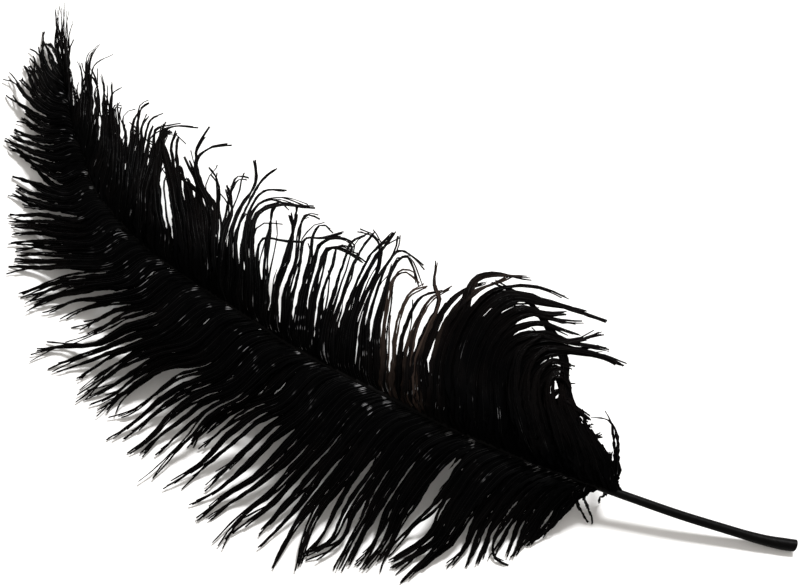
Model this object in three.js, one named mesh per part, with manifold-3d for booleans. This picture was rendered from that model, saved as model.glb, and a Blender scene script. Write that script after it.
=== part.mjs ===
// Ostrich feather with a bare cut quill, lying on its long soft vane. Millimetres, +Z up.
// The origin is the small flat under the cut end of the quill. +X runs along the feather to its
// tip, +Y is the side of the vane that droops to the surface, -Y the side that stands up and curls.
import * as THREE from 'three';
import { mergeVertices } from 'three/addons/utils/BufferGeometryUtils.js';
import Module from 'manifold-3d';

const wasm = await Module();
wasm.setup();

// Centreline of the quill and shaft: the quill leans up off the surface, the vane lifts the
// middle, and the shaft bows over towards the tip.
const SHAFT_CENTRELINE = [
  [-4, -2.2, 2.3],
  [4.7, 3, 2.4],
  [12, 7, 3.4],
  [27, 14, 6],
  [43, 21.2, 8.8],
  [59, 27.7, 11.6],
  [75, 34, 14.4],
  [91, 40, 17.3],
  [107, 46, 20.3],
  [137, 55.3, 24.5],
  [159, 60.3, 26.5],
  [192, 66.4, 27],
  [211, 68.4, 26],
  [233, 69.4, 25],
  [253, 69.9, 23.5],
  [273, 70.4, 22],
  [287, 70.4, 21],
  [302, 68.4, 19],
  [317, 65.4, 18],
  [331, 61.4, 17],
  [346, 52.4, 16],
  [361, 43.4, 15],
  [378, 30.4, 14],
  [395, 16.4, 13],
  [404, 8.4, 12.5],
];

// Shaft radius at fractions of its length: swollen at the cut, slim along the bare quill, and
// thin as a thread at the tip.
const SHAFT_RADII = [
  [0, 2.5],
  [0.02, 2.6],
  [0.035, 2.3],
  [0.06, 2.0],
  [0.2, 1.8],
  [0.5, 1.4],
  [0.8, 0.9],
  [1, 0.45],
];
const SHAFT_SIDES = 10;
const SHAFT_STEPS = 34;
// The steps are this many times shorter than the average at the cut end.
const SHAFT_FIRST_STEP = 0.35;
// The quill is cut this many degrees off square, its top overhanging, and is worn flat beneath.
const CUT_SLANT = 20;
const CUT_STATION = -1;
const CUTTER_SIZE = 30;

// Next to the shaft the barbs lie side by side as one sheet, over the first of these shares of
// their length. Then they part into locks, each a flattened, pointed body that starts inside the
// sheet. The sheet follows every WEB_STRIDE-th lock.
const WEB_SHARES = [0, 0.17, 0.35];
const WEB_STRIDE = 2;
const WEB_THICKNESS = 2.6;
const LOCK_START_SHARE = 0.22;
const LOCK_START_THICKNESS = 2.0;
const LOCK_SIDES = 4;
const LOCK_STEPS = 6;
const LOCK_TIP_WIDTH = 0.9;
const LOCK_TIP_THICKNESS = 1.0;
const DROOPING_THICKNESS = 4.2;
const STANDING_THICKNESS = 3.4;

// How a lock leaves the shaft: at this angle to it, for this share of the way to its first point.
const LEAVE_ANGLE = THREE.MathUtils.degToRad(30);
const LEAVE_SHARE = 0.35;
// Halfway a drooping lock is at this share of the shaft's height. Then come the height of its tip
// and how far a lock first rises over the shaft.
const HALFWAY_SHARE = 0.5;
const TIP_REST_HEIGHT = 0.6;
const FIRST_RISE = 2;
// Slivers thinner than this, left where two surfaces cross, are smoothed away.
const SMALLEST_DETAIL = 0.1;

// Drooping vane: station along X where the lock leaves the shaft, X and Y of a point halfway
// along it and of its tip on the surface, and its width near the shaft. From the feather's tip to
// the quill.
const DROOPING_LOCKS = [
  [385, [398, 17], [413, 11], 6],
  [380, [401, 23], [419, 8], 7],
  [374, [394, 31], [412, 21], 7],
  [369, [391, 37], [412, 28], 8],
  [365, [390, 42], [414, 35], 8],
  [361, [378, 48], [395, 45], 8],
  [355, [372, 54], [391, 56], 8],
  [351, [369, 60], [391, 62], 8],
  [340, [358, 65], [380, 64], 8],
  [333, [351, 72], [374, 74], 9],
  [326, [345, 77], [369, 82], 9],
  [316, [335, 82], [359, 92], 9],
  [309, [328, 85], [353, 96], 9],
  [302, [322, 88], [346, 101], 8],
  [296, [316, 90], [343, 105], 8],
  [293, [315, 92], [343, 109], 8],
  [283, [303, 94], [326, 116], 7],
  [279, [299, 95], [322, 119], 7],
  [270, [286, 93], [306, 114], 7],
  [262, [278, 96], [296, 121], 7],
  [255, [274, 103], [304, 125], 7],
  [249, [267, 103], [290, 133], 7],
  [242, [261, 100], [277, 133], 7],
  [234, [254, 102], [272, 136], 7],
  [229, [247, 102], [265, 135], 7],
  [222, [240, 102], [258, 135], 7],
  [215, [232, 103], [247, 138], 7],
  [207, [224, 103], [236, 139], 7],
  [202, [219, 106], [224, 148], 7],
  [191, [207, 104], [219, 144], 9],
  [185, [197, 99], [205, 134], 9],
  [177, [186, 105], [198, 146], 9],
  [168, [178, 105], [184, 149], 9],
  [160, [170, 97], [174, 135], 9],
  [153, [162, 100], [160, 142], 9],
  [146, [156, 94], [154, 132], 9],
  [137, [144, 91], [140, 127], 9],
  [125, [133, 86], [130, 120], 9],
  [112, [119, 79], [124, 110], 9],
  [101, [109, 75], [113, 106], 9],
  [91, [97, 64], [96, 88], 8],
  [82, [89, 56], [87, 77], 8],
  [76, [82, 50], [84, 67], 7],
];

// Standing vane: station along X where the lock leaves the shaft, its width, and points that it
// passes through up to the end of its curl. From the feather's tip to the quill.
const STANDING_LOCKS = [
  [372, 6, [389, 19, 17], [400, 10, 17], [412, -4, 17]],
  [364, 6, [372, 34, 19], [379, 26, 19], [385, 21, 18]],
  [350, 7, [357, 41, 21], [366, 29, 22], [382, 12, 21], [383, 8, 20]],
  [342, 7, [348, 45, 22], [355, 35, 23], [370, 20, 22], [375, 18, 21]],
  [329, 7, [336, 50, 24], [344, 38, 26], [354, 28, 25], [362, 20, 23]],
  [318, 7, [326, 54, 26], [335, 43, 28], [352, 27, 26], [351, 24, 25]],
  [307, 7, [315, 58, 27], [329, 39, 29], [337, 29, 28], [342, 17, 26]],
  [299, 7, [307, 59, 28], [321, 40, 30], [329, 29, 29], [331, 17, 27]],
  [290, 7, [298, 62, 27], [310, 45, 31], [322, 25, 31], [312, 16, 28]],
  [284, 7, [291, 63, 30], [303, 50, 33], [309, 42, 32], [323, 26, 29]],
  [269, 6, [277, 64, 29], [299, 45, 34], [312, 35, 33], [320, 23, 31]],
  [264, 6, [272, 64, 30], [290, 48, 35], [300, 39, 34], [316, 25, 31]],
  [259, 6, [266, 64, 32], [274, 57, 35], [290, 42, 33], [297, 37, 32]],
  [252, 6, [260, 64, 29], [274, 49, 35], [291, 36, 35], [310, 13, 32]],
  [247, 6, [254, 64, 31], [267, 50, 36], [274, 43, 36], [290, 25, 33]],
  [243, 6, [251, 61, 36], [261, 49, 39], [269, 25, 38], [278, 12, 35]],
  [236, 6, [246, 60, 36], [256, 47, 39], [264, 23, 38], [257, 18, 36]],
  [230, 6, [239, 61, 36], [251, 47, 39], [254, 25, 39], [242, 17, 36]],
  [220, 6, [225, 64, 35], [231, 55, 37], [243, 30, 38], [250, 26, 36]],
  [214, 6, [219, 63, 34], [232, 40, 39], [240, 28, 39], [238, 20, 35]],
  [208, 6, [213, 63, 34], [226, 38, 39], [233, 28, 39], [229, 21, 36]],
  [197, 6, [203, 61, 34], [211, 49, 38], [222, 25, 39], [217, 21, 37]],
  [187, 7, [192, 60, 34], [203, 38, 39], [207, 25, 40], [207, 4, 36]],
  [180, 7, [187, 58, 35], [198, 35, 40], [202, 22, 41], [221, 10, 36]],
  [173, 8, [180, 57, 35], [194, 34, 41], [200, 10, 40], [188, 11, 36]],
  [161, 9, [166, 56, 34], [174, 46, 39], [182, 26, 44], [179, 18, 42]],
  [150, 10, [155, 56, 35], [167, 34, 43], [170, 22, 46], [183, 6, 43]],
  [143, 10, [147, 53, 35], [160, 33, 43], [162, 21, 47], [152, -6, 44]],
  [134, 9, [141, 51, 35], [154, 30, 43], [154, 5, 50], [130, -15, 43]],
  [127, 9, [135, 48, 34], [147, 28, 43], [146, 4, 50], [121, -15, 42]],
  [120, 9, [128, 45, 34], [141, 27, 42], [138, 4, 48], [118, -9, 42]],
  [113, 9, [122, 43, 33], [136, 25, 40], [129, 7, 45], [111, -13, 38]],
  [107, 8, [116, 41, 31], [129, 25, 39], [124, 8, 43], [108, -8, 37]],
  [100, 8, [109, 39, 30], [123, 25, 37], [120, 9, 41], [96, -8, 34]],
  [90, 8, [99, 36, 27], [113, 26, 34], [114, 20, 37], [107, 16, 35]],
  [77, 7, [85, 32, 23], [92, 28, 26], [98, 20, 30], [93, 19, 28]],
];

const vector = ([x, y, z]) => new THREE.Vector3(x, y, z);
const shaftCurve = new THREE.CatmullRomCurve3(SHAFT_CENTRELINE.map(vector));
const UP = new THREE.Vector3(0, 0, 1);

// Value at t between the rows of a list of [fraction, value].
function between(rows, t) {
  let i = 1;
  while (i < rows.length - 1 && rows[i][0] < t) i += 1;
  const [fromT, from] = rows[i - 1];
  const [toT, to] = rows[i];
  return THREE.MathUtils.lerp(from, to, THREE.MathUtils.clamp((t - fromT) / (toT - fromT), 0, 1));
}

// Point and heading of the shaft where it crosses a station along X.
function shaftAtStation(x) {
  let low = 0;
  let high = 1;
  for (let i = 0; i < 30; i += 1) {
    const middle = (low + high) / 2;
    if (shaftCurve.getPointAt(middle).x < x) low = middle;
    else high = middle;
  }
  const tangent = shaftCurve.getTangentAt(low);
  return { point: shaftCurve.getPointAt(low), heading: Math.atan2(tangent.y, tangent.x) };
}

// Bends a unit cylinder along a curve. half(t) gives its half width and half thickness, and turn
// rolls its corners round the curve. Nothing goes under the surface it rests on.
function bendAlong(curve, sides, steps, half, turn = 0) {
  const geometry = new THREE.CylinderGeometry(1, 1, 1, sides, steps, false, turn);
  const position = geometry.attributes.position;
  for (let i = 0; i < position.count; i += 1) {
    const t = THREE.MathUtils.clamp(position.getY(i) + 0.5, 0, 1);
    const centre = curve.getPointAt(t);
    const tangent = curve.getTangentAt(t);
    const side = new THREE.Vector3().crossVectors(tangent, UP).normalize();
    const over = new THREE.Vector3().crossVectors(side, tangent);
    const [halfWidth, halfThickness] = half(t);
    centre.addScaledVector(side, position.getX(i) * halfWidth);
    centre.addScaledVector(over, position.getZ(i) * halfThickness);
    position.setXYZ(i, centre.x, centre.y, Math.max(centre.z, 0));
  }
  return geometry;
}

// Closed body of a geometry, for joining.
function toSolid(geometry) {
  const plain = geometry.clone();
  plain.deleteAttribute('normal');
  plain.deleteAttribute('uv');
  const merged = mergeVertices(plain, 1e-4);
  return new wasm.Manifold(new wasm.Mesh({
    numProp: 3,
    vertProperties: new Float32Array(merged.attributes.position.array),
    triVerts: new Uint32Array(merged.index.array),
  }));
}

function toGeometry(solid) {
  const mesh = solid.getMesh();
  const geometry = new THREE.BufferGeometry();
  geometry.setAttribute('position', new THREE.BufferAttribute(new Float32Array(mesh.vertProperties), 3));
  geometry.setIndex(new THREE.BufferAttribute(new Uint32Array(mesh.triVerts), 1));
  geometry.computeVertexNormals();
  return geometry;
}

// The shaft, its rings closest together at the cut end, which is trimmed on the slant.
function shaftSolid() {
  const warp = (t) => t * (SHAFT_FIRST_STEP + (1 - SHAFT_FIRST_STEP) * t);
  const warped = new THREE.Curve();
  warped.arcLengthDivisions = 1;
  warped.getPointAt = (t) => shaftCurve.getPointAt(warp(t));
  warped.getTangentAt = (t) => shaftCurve.getTangentAt(warp(t));
  const half = (t) => {
    const radius = between(SHAFT_RADII, warp(t));
    return [radius, radius];
  };
  const shaft = toSolid(bendAlong(warped, SHAFT_SIDES, SHAFT_STEPS, half, Math.PI / SHAFT_SIDES));
  const { heading } = shaftAtStation(0);
  const cutter = new THREE.BoxGeometry(CUTTER_SIZE, CUTTER_SIZE, CUTTER_SIZE);
  cutter.translate(-CUTTER_SIZE / 2, 0, 0);
  cutter.rotateY(THREE.MathUtils.degToRad(-CUT_SLANT));
  cutter.rotateZ(heading);
  cutter.translate(CUT_STATION, CUT_STATION * Math.tan(heading), 0);
  return shaft.subtract(toSolid(cutter));
}

// Part of a curve, from a start share of its length to its end.
function restOf(curve, start) {
  const part = new THREE.Curve();
  part.getPoint = (t) => curve.getPointAt(THREE.MathUtils.clamp(start + (1 - start) * t, 0, 1));
  return part;
}

// A lock swells once it is clear of the sheet and tapers to a point.
function lockHalf(width, thickness) {
  const widths = [[0, width * 0.8], [0.25, width], [0.65, width * 0.7], [1, LOCK_TIP_WIDTH]];
  const thicknesses = [
    [0, LOCK_START_THICKNESS],
    [0.3, thickness],
    [0.65, thickness * 0.7],
    [1, LOCK_TIP_THICKNESS],
  ];
  return (t) => [between(widths, t) / 2, between(thicknesses, t) / 2];
}

// The sheet next to the shaft: a thin band lofted over the first part of every lock's curve.
function webGeometry(curves) {
  const corners = [];
  for (const curve of curves) {
    const upper = WEB_SHARES.map((share) => curve.getPointAt(share));
    for (const point of upper) corners.push(point.x, point.y, point.z + WEB_THICKNESS / 2);
    for (const point of upper.reverse()) corners.push(point.x, point.y, point.z - WEB_THICKNESS / 2);
  }
  const ring = WEB_SHARES.length * 2;
  const faces = [];
  for (let row = 0; row + 1 < curves.length; row += 1) {
    for (let i = 0; i < ring; i += 1) {
      const here = row * ring + i;
      const next = row * ring + ((i + 1) % ring);
      faces.push(here, here + ring, next, next, here + ring, next + ring);
    }
  }
  const last = (curves.length - 1) * ring;
  for (let i = 0; i < WEB_SHARES.length - 1; i += 1) {
    const far = ring - 1 - i;
    faces.push(i, i + 1, far, i + 1, far - 1, far);
    faces.push(last + i, last + far, last + i + 1, last + i + 1, last + far, last + far - 1);
  }
  const geometry = new THREE.BufferGeometry();
  geometry.setAttribute('position', new THREE.Float32BufferAttribute(corners, 3));
  geometry.setIndex(faces);
  return geometry;
}

// A lock's curve: it leaves the shaft towards the tip, turn degrees to the left, then passes
// through the points.
function lockCurve(station, points, turn, rise) {
  const { point, heading } = shaftAtStation(station);
  const reach = point.distanceTo(points[0]) * LEAVE_SHARE;
  const angle = heading + turn;
  const leave = new THREE.Vector3(Math.cos(angle) * reach, Math.sin(angle) * reach, rise).add(point);
  return new THREE.CatmullRomCurve3([point, leave, ...points]);
}

// A drooping lock arches and lays its tip on the surface.
function droopingCurve([station, middle, tip]) {
  const { point } = shaftAtStation(station);
  const halfway = new THREE.Vector3(...middle, point.z * HALFWAY_SHARE);
  const end = new THREE.Vector3(...tip, TIP_REST_HEIGHT);
  return lockCurve(station, [halfway, end], LEAVE_ANGLE, FIRST_RISE);
}

// A standing lock leaves the shaft on the other side, rises to a crest and curls over.
function standingCurve([station, , ...points]) {
  return lockCurve(station, points.map(vector), -LEAVE_ANGLE, FIRST_RISE);
}

// A vane: the sheet next to the shaft and the locks that part from it. The locks are in order along
// the shaft, with the vane on their left.
function vaneSolid(locks, thickness) {
  const webLocks = locks.filter((_, i) => i % WEB_STRIDE === 0 || i === locks.length - 1);
  let vane = toSolid(webGeometry(webLocks.map((lock) => lock.curve)));
  for (const { curve, width } of locks) {
    const outer = restOf(curve, LOCK_START_SHARE);
    const lock = bendAlong(outer, LOCK_SIDES, LOCK_STEPS, lockHalf(width, thickness));
    vane = vane.add(toSolid(lock));
  }
  return vane;
}

const droopingLocks = DROOPING_LOCKS.map((row) => ({ curve: droopingCurve(row), width: row[3] }))
  .reverse();
const standingLocks = STANDING_LOCKS.map((row) => ({ curve: standingCurve(row), width: row[1] }));
const joined = shaftSolid()
  .add(vaneSolid(droopingLocks, DROOPING_THICKNESS))
  .add(vaneSolid(standingLocks, STANDING_THICKNESS))
  .simplify(SMALLEST_DETAIL);
// The feather is the outer skin of all this, without the specks enclosed where the sheets meet.
const [feather] = joined.decompose().sort((one, other) => other.volume() - one.volume());

const barbMaterial = new THREE.MeshStandardMaterial({ color: 0x0a0908, roughness: 0.85, metalness: 0 });
const featherMesh = new THREE.Mesh(toGeometry(feather), barbMaterial);
featherMesh.name = 'feather';

const part = new THREE.Group();
part.add(featherMesh);

export default part;
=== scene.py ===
# Black ostrich feather: the quill and shaft, and the barbs of both vanes with their barbules.
# Metres, in the solid's frame: the origin is the flat under the quill's cut end, +X runs to the
# feather's tip, +Y is the vane that droops to the surface, -Y the vane that stands and curls.
# Shapes are worked out in millimetres and scaled when their meshes are made.
import math
from collections import namedtuple

import bpy
import numpy as np
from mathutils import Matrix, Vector


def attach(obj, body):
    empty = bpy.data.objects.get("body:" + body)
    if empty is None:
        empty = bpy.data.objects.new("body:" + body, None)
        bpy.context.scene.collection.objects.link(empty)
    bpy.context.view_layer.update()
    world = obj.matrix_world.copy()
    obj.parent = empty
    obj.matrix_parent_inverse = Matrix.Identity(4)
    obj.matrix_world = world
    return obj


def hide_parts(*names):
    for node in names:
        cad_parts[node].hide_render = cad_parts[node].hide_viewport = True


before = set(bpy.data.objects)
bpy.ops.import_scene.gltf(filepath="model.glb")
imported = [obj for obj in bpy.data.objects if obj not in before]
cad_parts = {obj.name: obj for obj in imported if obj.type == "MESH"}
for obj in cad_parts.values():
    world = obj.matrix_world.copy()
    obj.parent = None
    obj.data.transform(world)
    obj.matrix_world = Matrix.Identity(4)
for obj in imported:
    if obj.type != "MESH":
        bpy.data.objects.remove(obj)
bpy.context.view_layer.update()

MM = 0.001
UP = np.array([0.0, 0.0, 1.0])
random = np.random.default_rng(41)

# The camera at the photo's viewing angle, and the photo's size in pixels.
CAMERA_AZIMUTH = math.radians(219)
CAMERA_ELEVATION = math.radians(62)
CAMERA_DISTANCE = 0.9
CAMERA_LENS = 92
CAMERA_SENSOR = 36
CAMERA_TARGET = np.array([0.2004, 0.0094, 0])
PICTURE_WIDTH = 801
PICTURE_HEIGHT = 585

# Light, floor and background.
KEY_PLACE = (0.32, -1.25, 1.9)
KEY_SIZE = 0.45
KEY_POWER = 66
LIT_PLACE = (0.2, 0.06, 0)
STUDIO_COLOUR = (1, 0.96, 0.91, 1)
STUDIO_STRENGTH = 0.62
FLOOR_HALF = 3.0
FLOOR_COLOUR = (0.9, 0.9, 0.9, 1)
FLOOR_ROUGHNESS = 0.9

# Centreline of the quill and shaft in millimetres, as in the solid, and its radius at shares of it.
SHAFT_CENTRELINE = [
    (-4, -2.2, 2.3), (4.7, 3, 2.4), (12, 7, 3.4), (27, 14, 6), (43, 21.2, 8.8), (59, 27.7, 11.6),
    (75, 34, 14.4), (91, 40, 17.3), (107, 46, 20.3), (137, 55.3, 24.5), (159, 60.3, 26.5),
    (192, 66.4, 27), (211, 68.4, 26), (233, 69.4, 25), (253, 69.9, 23.5), (273, 70.4, 22),
    (287, 70.4, 21), (302, 68.4, 19), (317, 65.4, 18), (331, 61.4, 17), (346, 52.4, 16),
    (361, 43.4, 15), (378, 30.4, 14), (395, 16.4, 13), (404, 8.4, 12.5),
]
SHAFT_RADII = (
    (0, 2.5), (0.02, 2.6), (0.035, 2.3), (0.06, 2), (0.2, 1.8), (0.5, 1.4), (0.8, 0.9), (1, 0.45),
)
SHAFT_POINTS = 400
QUILL_SIDES = 24
QUILL_RINGS = 260
RING_CROWDING = 1.25

# The quill is cut off on the slant through this point, its top overhanging.
CUT_POINT = np.array([0.3, 0.2, 0])
CUT_SLANT = math.radians(20)

# A shallow groove along the quill: where it is round the quill, its spread and its share of depth.
GROOVE_TURN = 1.5 * math.pi
GROOVE_SPREAD = 0.35
GROOVE_DEPTH = 0.12

# The line that the tufts' roots were read against, close to the shaft's centreline: places in the
# photo in pixels with their heights in millimetres, then points in millimetres.
QUILL_READINGS = [
    (798, 546, 2.3), (780, 543.3, 2.5), (760, 539, 3.4), (740, 534, 4.6), (720, 527.5, 6),
    (700, 521, 7.4), (680, 515, 8.8), (660, 508, 10.2), (640, 501, 11.6), (620, 493.5, 13),
    (600, 486.5, 14.4), (580, 479.5, 15.8), (560, 472, 17.3), (540, 464.5, 18.8), (520, 456.5, 20.3),
]
ROOT_LINE = [
    (137.4, 55.4, 24.5), (159.4, 60.4, 26.5), (192.4, 66.4, 27), (211.4, 68.4, 26),
    (233.4, 69.4, 25), (253.4, 69.9, 23.5), (273.4, 70.4, 22), (287.4, 70.4, 21), (302.4, 68.4, 19),
    (317.4, 65.4, 18), (331.4, 61.4, 17), (346.4, 52.4, 16), (361.4, 43.4, 15), (378.4, 30.4, 14),
    (395.4, 16.4, 13), (404.4, 8.4, 12.5),
]
ROOT_LINE_STEPS = 40

# How steeply a drooping tuft runs back to its root in the photo, by the column of its first place,
# and how many pixels further right than that place the root is at least.
ROOT_SLOPES = (
    (50, 0.08), (62, 0.2), (74, 0.3), (85, 0.36), (94, 0.4), (120, 0.47), (160, 0.55), (200, 0.6),
    (250, 0.6), (290, 0.72), (330, 0.8), (370, 0.9), (450, 0.9), (490, 0.75), (530, 0.62), (570, 0.57),
)
NEAREST_ROOT = 3

# Height of a drooping tuft at shares of its length: a share of its root's height and millimetres
# on top of it.
DROOP_HEIGHTS = ((0, 1, 0), (0.15, 1, 2), (0.5, 0.55, 1), (0.8, 0.12, 1), (1, 0, 0.6))

# How far a standing tuft rises above its root, by the root's column in the photo, and the share of
# that rise at shares of its length.
STANDING_RISES = ((62, 1.5), (80, 6), (112, 10), (145, 11), (175, 12), (226, 12.5))
RISE_SHARES = ((0, 0), (0.25, 0.75), (0.55, 1), (0.8, 0.9), (1, 0.7))

# Tufts of the drooping vane as read off the photo, in its pixels: the root, how many barbs
# there are, and the places that the tuft runs through, the last one its tip. The root is a place, a
# station along the shaft in millimetres, or None where it follows from the slope.
DROOPING_READINGS = [
    ((64, 80), 3, (60, 62), (54, 50), (47, 42)),
    ((65, 88), 3, (60, 74), (52, 60), (44, 42)),
    ((66, 92), 2, (58, 82), (47, 68), (42, 32)),
    ((67, 98), 4, (58, 90), (47, 76), (38, 45)),
    ((68, 103), 4, (56, 96), (43, 80), (33, 58)),
    ((69, 108), 4, (55, 101), (42, 88), (30, 62)),
    ((70, 113), 4, (53, 106), (40, 95), (24, 67)),
    ((71, 118), 4, (52, 110), (38, 100), (22, 78)),
    ((73, 123), 3, (51, 116), (32, 103), (10, 75)),
    ((74, 127), 3, (51, 121), (32, 112), (7, 95)),
    ((75, 132), 5, (50, 127), (34, 120), (24, 110)),
    ((77, 137), 5, (52, 133), (34, 127), (21, 118)),
    ((78, 142), 4, (50, 140), (30, 136), (14, 131)),
    ((80, 147), 5, (53, 148), (30, 144), (11, 137)),
    ((82, 153), 4, (58, 157), (32, 151), (4, 139)),
    (None, 5, (58, 166), (38, 160), (10, 148)),
    (None, 5, (62, 178), (45, 172), (20, 155)),
    (None, 4, (66, 188), (52, 184), (33, 166)),
    (None, 5, (70, 195), (50, 192), (32, 184), (14, 177)),
    (None, 5, (72, 200), (48, 198), (30, 192), (16, 188)),
    (None, 5, (74, 207), (48, 206), (30, 200), (9, 194)),
    (None, 4, (78, 212), (55, 210), (35, 206), (20, 200)),
    (None, 3, (82, 219), (60, 218), (42, 214), (8, 216)),
    (None, 5, (85, 226), (62, 225), (35, 222), (8, 222)),
    (None, 6, (88, 232), (62, 231), (35, 229), (10, 229)),
    (None, 5, (90, 238), (65, 237), (38, 234), (12, 235)),
    (None, 5, (94, 244), (65, 245), (38, 243), (10, 243)),
    (None, 5, (98, 249), (68, 250), (38, 248), (16, 250)),
    (None, 5, (102, 254), (70, 256), (38, 254), (18, 256)),
    (None, 5, (106, 259), (72, 260), (40, 262), (14, 262)),
    (None, 6, (110, 264), (75, 264), (40, 268), (8, 268)),
    (None, 5, (118, 272), (90, 277), (55, 283), (19, 296)),
    (None, 5, (122, 277), (90, 282), (58, 288), (24, 300)),
    (None, 5, (126, 281), (92, 287), (58, 294), (33, 303)),
    (None, 4, (130, 285), (95, 289), (62, 298), (27, 309)),
    (None, 3, (138, 293), (105, 298), (75, 302), (43, 314)),
    (None, 4, (142, 298), (112, 302), (88, 309), (61, 322)),
    (None, 5, (148, 305), (120, 311), (97, 320), (73, 333)),
    (None, 4, (152, 310), (125, 318), (100, 331), (68, 346)),
    (None, 4, (156, 316), (128, 326), (95, 343), (60, 347), (29, 353)),
    (None, 3, (160, 321), (130, 332), (100, 345), (70, 345), (47, 343)),
    (None, 4, (163, 326), (133, 338), (105, 350), (75, 359), (48, 369)),
    (None, 4, (166, 331), (136, 343), (108, 354), (82, 365), (58, 373)),
    (None, 4, (170, 335), (140, 345), (110, 358), (78, 379)),
    (None, 4, (178, 338), (152, 344), (126, 357), (103, 373), (79, 391)),
    (None, 5, (190, 344), (160, 350), (130, 362), (105, 380), (76, 402)),
    (None, 5, (195, 350), (165, 357), (138, 370), (115, 385), (84, 402)),
    (None, 5, (200, 354), (170, 360), (140, 376), (115, 395), (91, 408)),
    (None, 4, (204, 357), (172, 364), (142, 380), (118, 398), (96, 410)),
    (None, 4, (206, 360), (170, 366), (138, 384), (115, 400), (102, 420)),
    (None, 3, (212, 368), (180, 378), (155, 395), (132, 412), (110, 419)),
    (None, 5, (218, 373), (185, 386), (158, 402), (132, 425), (107, 441)),
    (None, 4, (222, 377), (188, 392), (160, 410), (138, 428), (124, 438)),
    (None, 5, (232, 383), (200, 396), (170, 418), (148, 438), (127, 455)),
    (None, 5, (236, 388), (205, 402), (178, 422), (158, 440), (142, 455)),
    (None, 4, (240, 392), (208, 410), (182, 430), (168, 445), (157, 457)),
    (None, 3, (244, 396), (212, 415), (190, 438), (172, 455), (148, 487)),
    (None, 4, (248, 398), (220, 412), (203, 428), (188, 449)),
    (None, 4, (280, 396), (255, 402), (230, 414), (207, 433)),
    (None, 5, (284, 402), (256, 414), (228, 434), (205, 460), (163, 487)),
    (None, 4, (286, 407), (258, 422), (238, 440), (205, 466), (178, 484)),
    (None, 6, (296, 410), (270, 428), (245, 452), (204, 489)),
    (None, 5, (302, 415), (276, 436), (250, 463), (222, 488), (189, 506)),
    (None, 5, (308, 425), (283, 452), (258, 474), (228, 494), (197, 521)),
    (None, 4, (314, 432), (288, 460), (262, 482), (235, 500), (208, 520)),
    (None, 5, (320, 440), (295, 467), (270, 492), (243, 515), (218, 546)),
    (None, 6, (324, 448), (300, 475), (275, 500), (232, 534)),
    (None, 6, (330, 455), (306, 482), (285, 505), (258, 536)),
    (None, 4, (335, 462), (312, 490), (290, 516), (257, 547)),
    (None, 6, (340, 470), (318, 496), (298, 522), (274, 568)),
    (None, 6, (345, 476), (326, 500), (310, 528), (296, 570)),
    (None, 4, (352, 482), (338, 505), (322, 535), (300, 560)),
    (None, 4, (362, 485), (350, 505), (342, 520), (330, 540), (303, 557)),
    (None, 4, (368, 490), (352, 515), (345, 535), (330, 552), (308, 564)),
    (None, 6, (376, 495), (362, 520), (350, 542), (333, 571)),
    (None, 5, (384, 500), (370, 525), (357, 547), (343, 572)),
    (None, 5, (392, 505), (380, 530), (370, 550), (354, 566)),
    (None, 6, (400, 508), (390, 530), (380, 550), (364, 573)),
    (None, 5, (408, 510), (398, 528), (388, 545), (375, 568)),
    (None, 3, (436, 505), (425, 515), (412, 526), (385, 556)),
    (None, 5, (446, 508), (433, 530), (415, 548), (391, 563)),
    (None, 6, (452, 512), (440, 535), (420, 552), (392, 570)),
    (None, 5, (458, 518), (445, 540), (428, 558), (400, 581)),
    (None, 5, (464, 522), (452, 543), (438, 556), (418, 572)),
    (98, 5, (474, 525), (466, 545), (458, 557), (447, 568)),
    (94, 6, (482, 528), (475, 548), (466, 567)),
    (91, 6, (490, 530), (484, 548), (478, 566)),
    (88, 3, (500, 530), (494, 545), (494, 558), (507, 566)),
    (86, 4, (508, 528), (500, 545), (492, 560)),
    (84, 4, (520, 522), (512, 540), (505, 557)),
    (82, 6, (532, 515), (522, 535), (512, 558)),
    (80.5, 5, (544, 510), (532, 530), (520, 552)),
    (79, 5, (552, 508), (540, 525), (527, 547)),
    (77.5, 4, (560, 505), (548, 522), (536, 540)),
    (76, 3, (565, 505), (552, 525), (532, 545)),
    (75, 3, (570, 502), (556, 518), (540, 537)),
    (74, 3, (575, 500), (560, 514), (545, 531)),
    ((583, 487), 1, (571, 497), (579, 511), (587, 524)),
    ((590, 485), 1, (583, 492), (588, 503), (591, 514), (592, 524)),
    ((613, 492), 1, (606, 496), (599, 500)),
]

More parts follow.
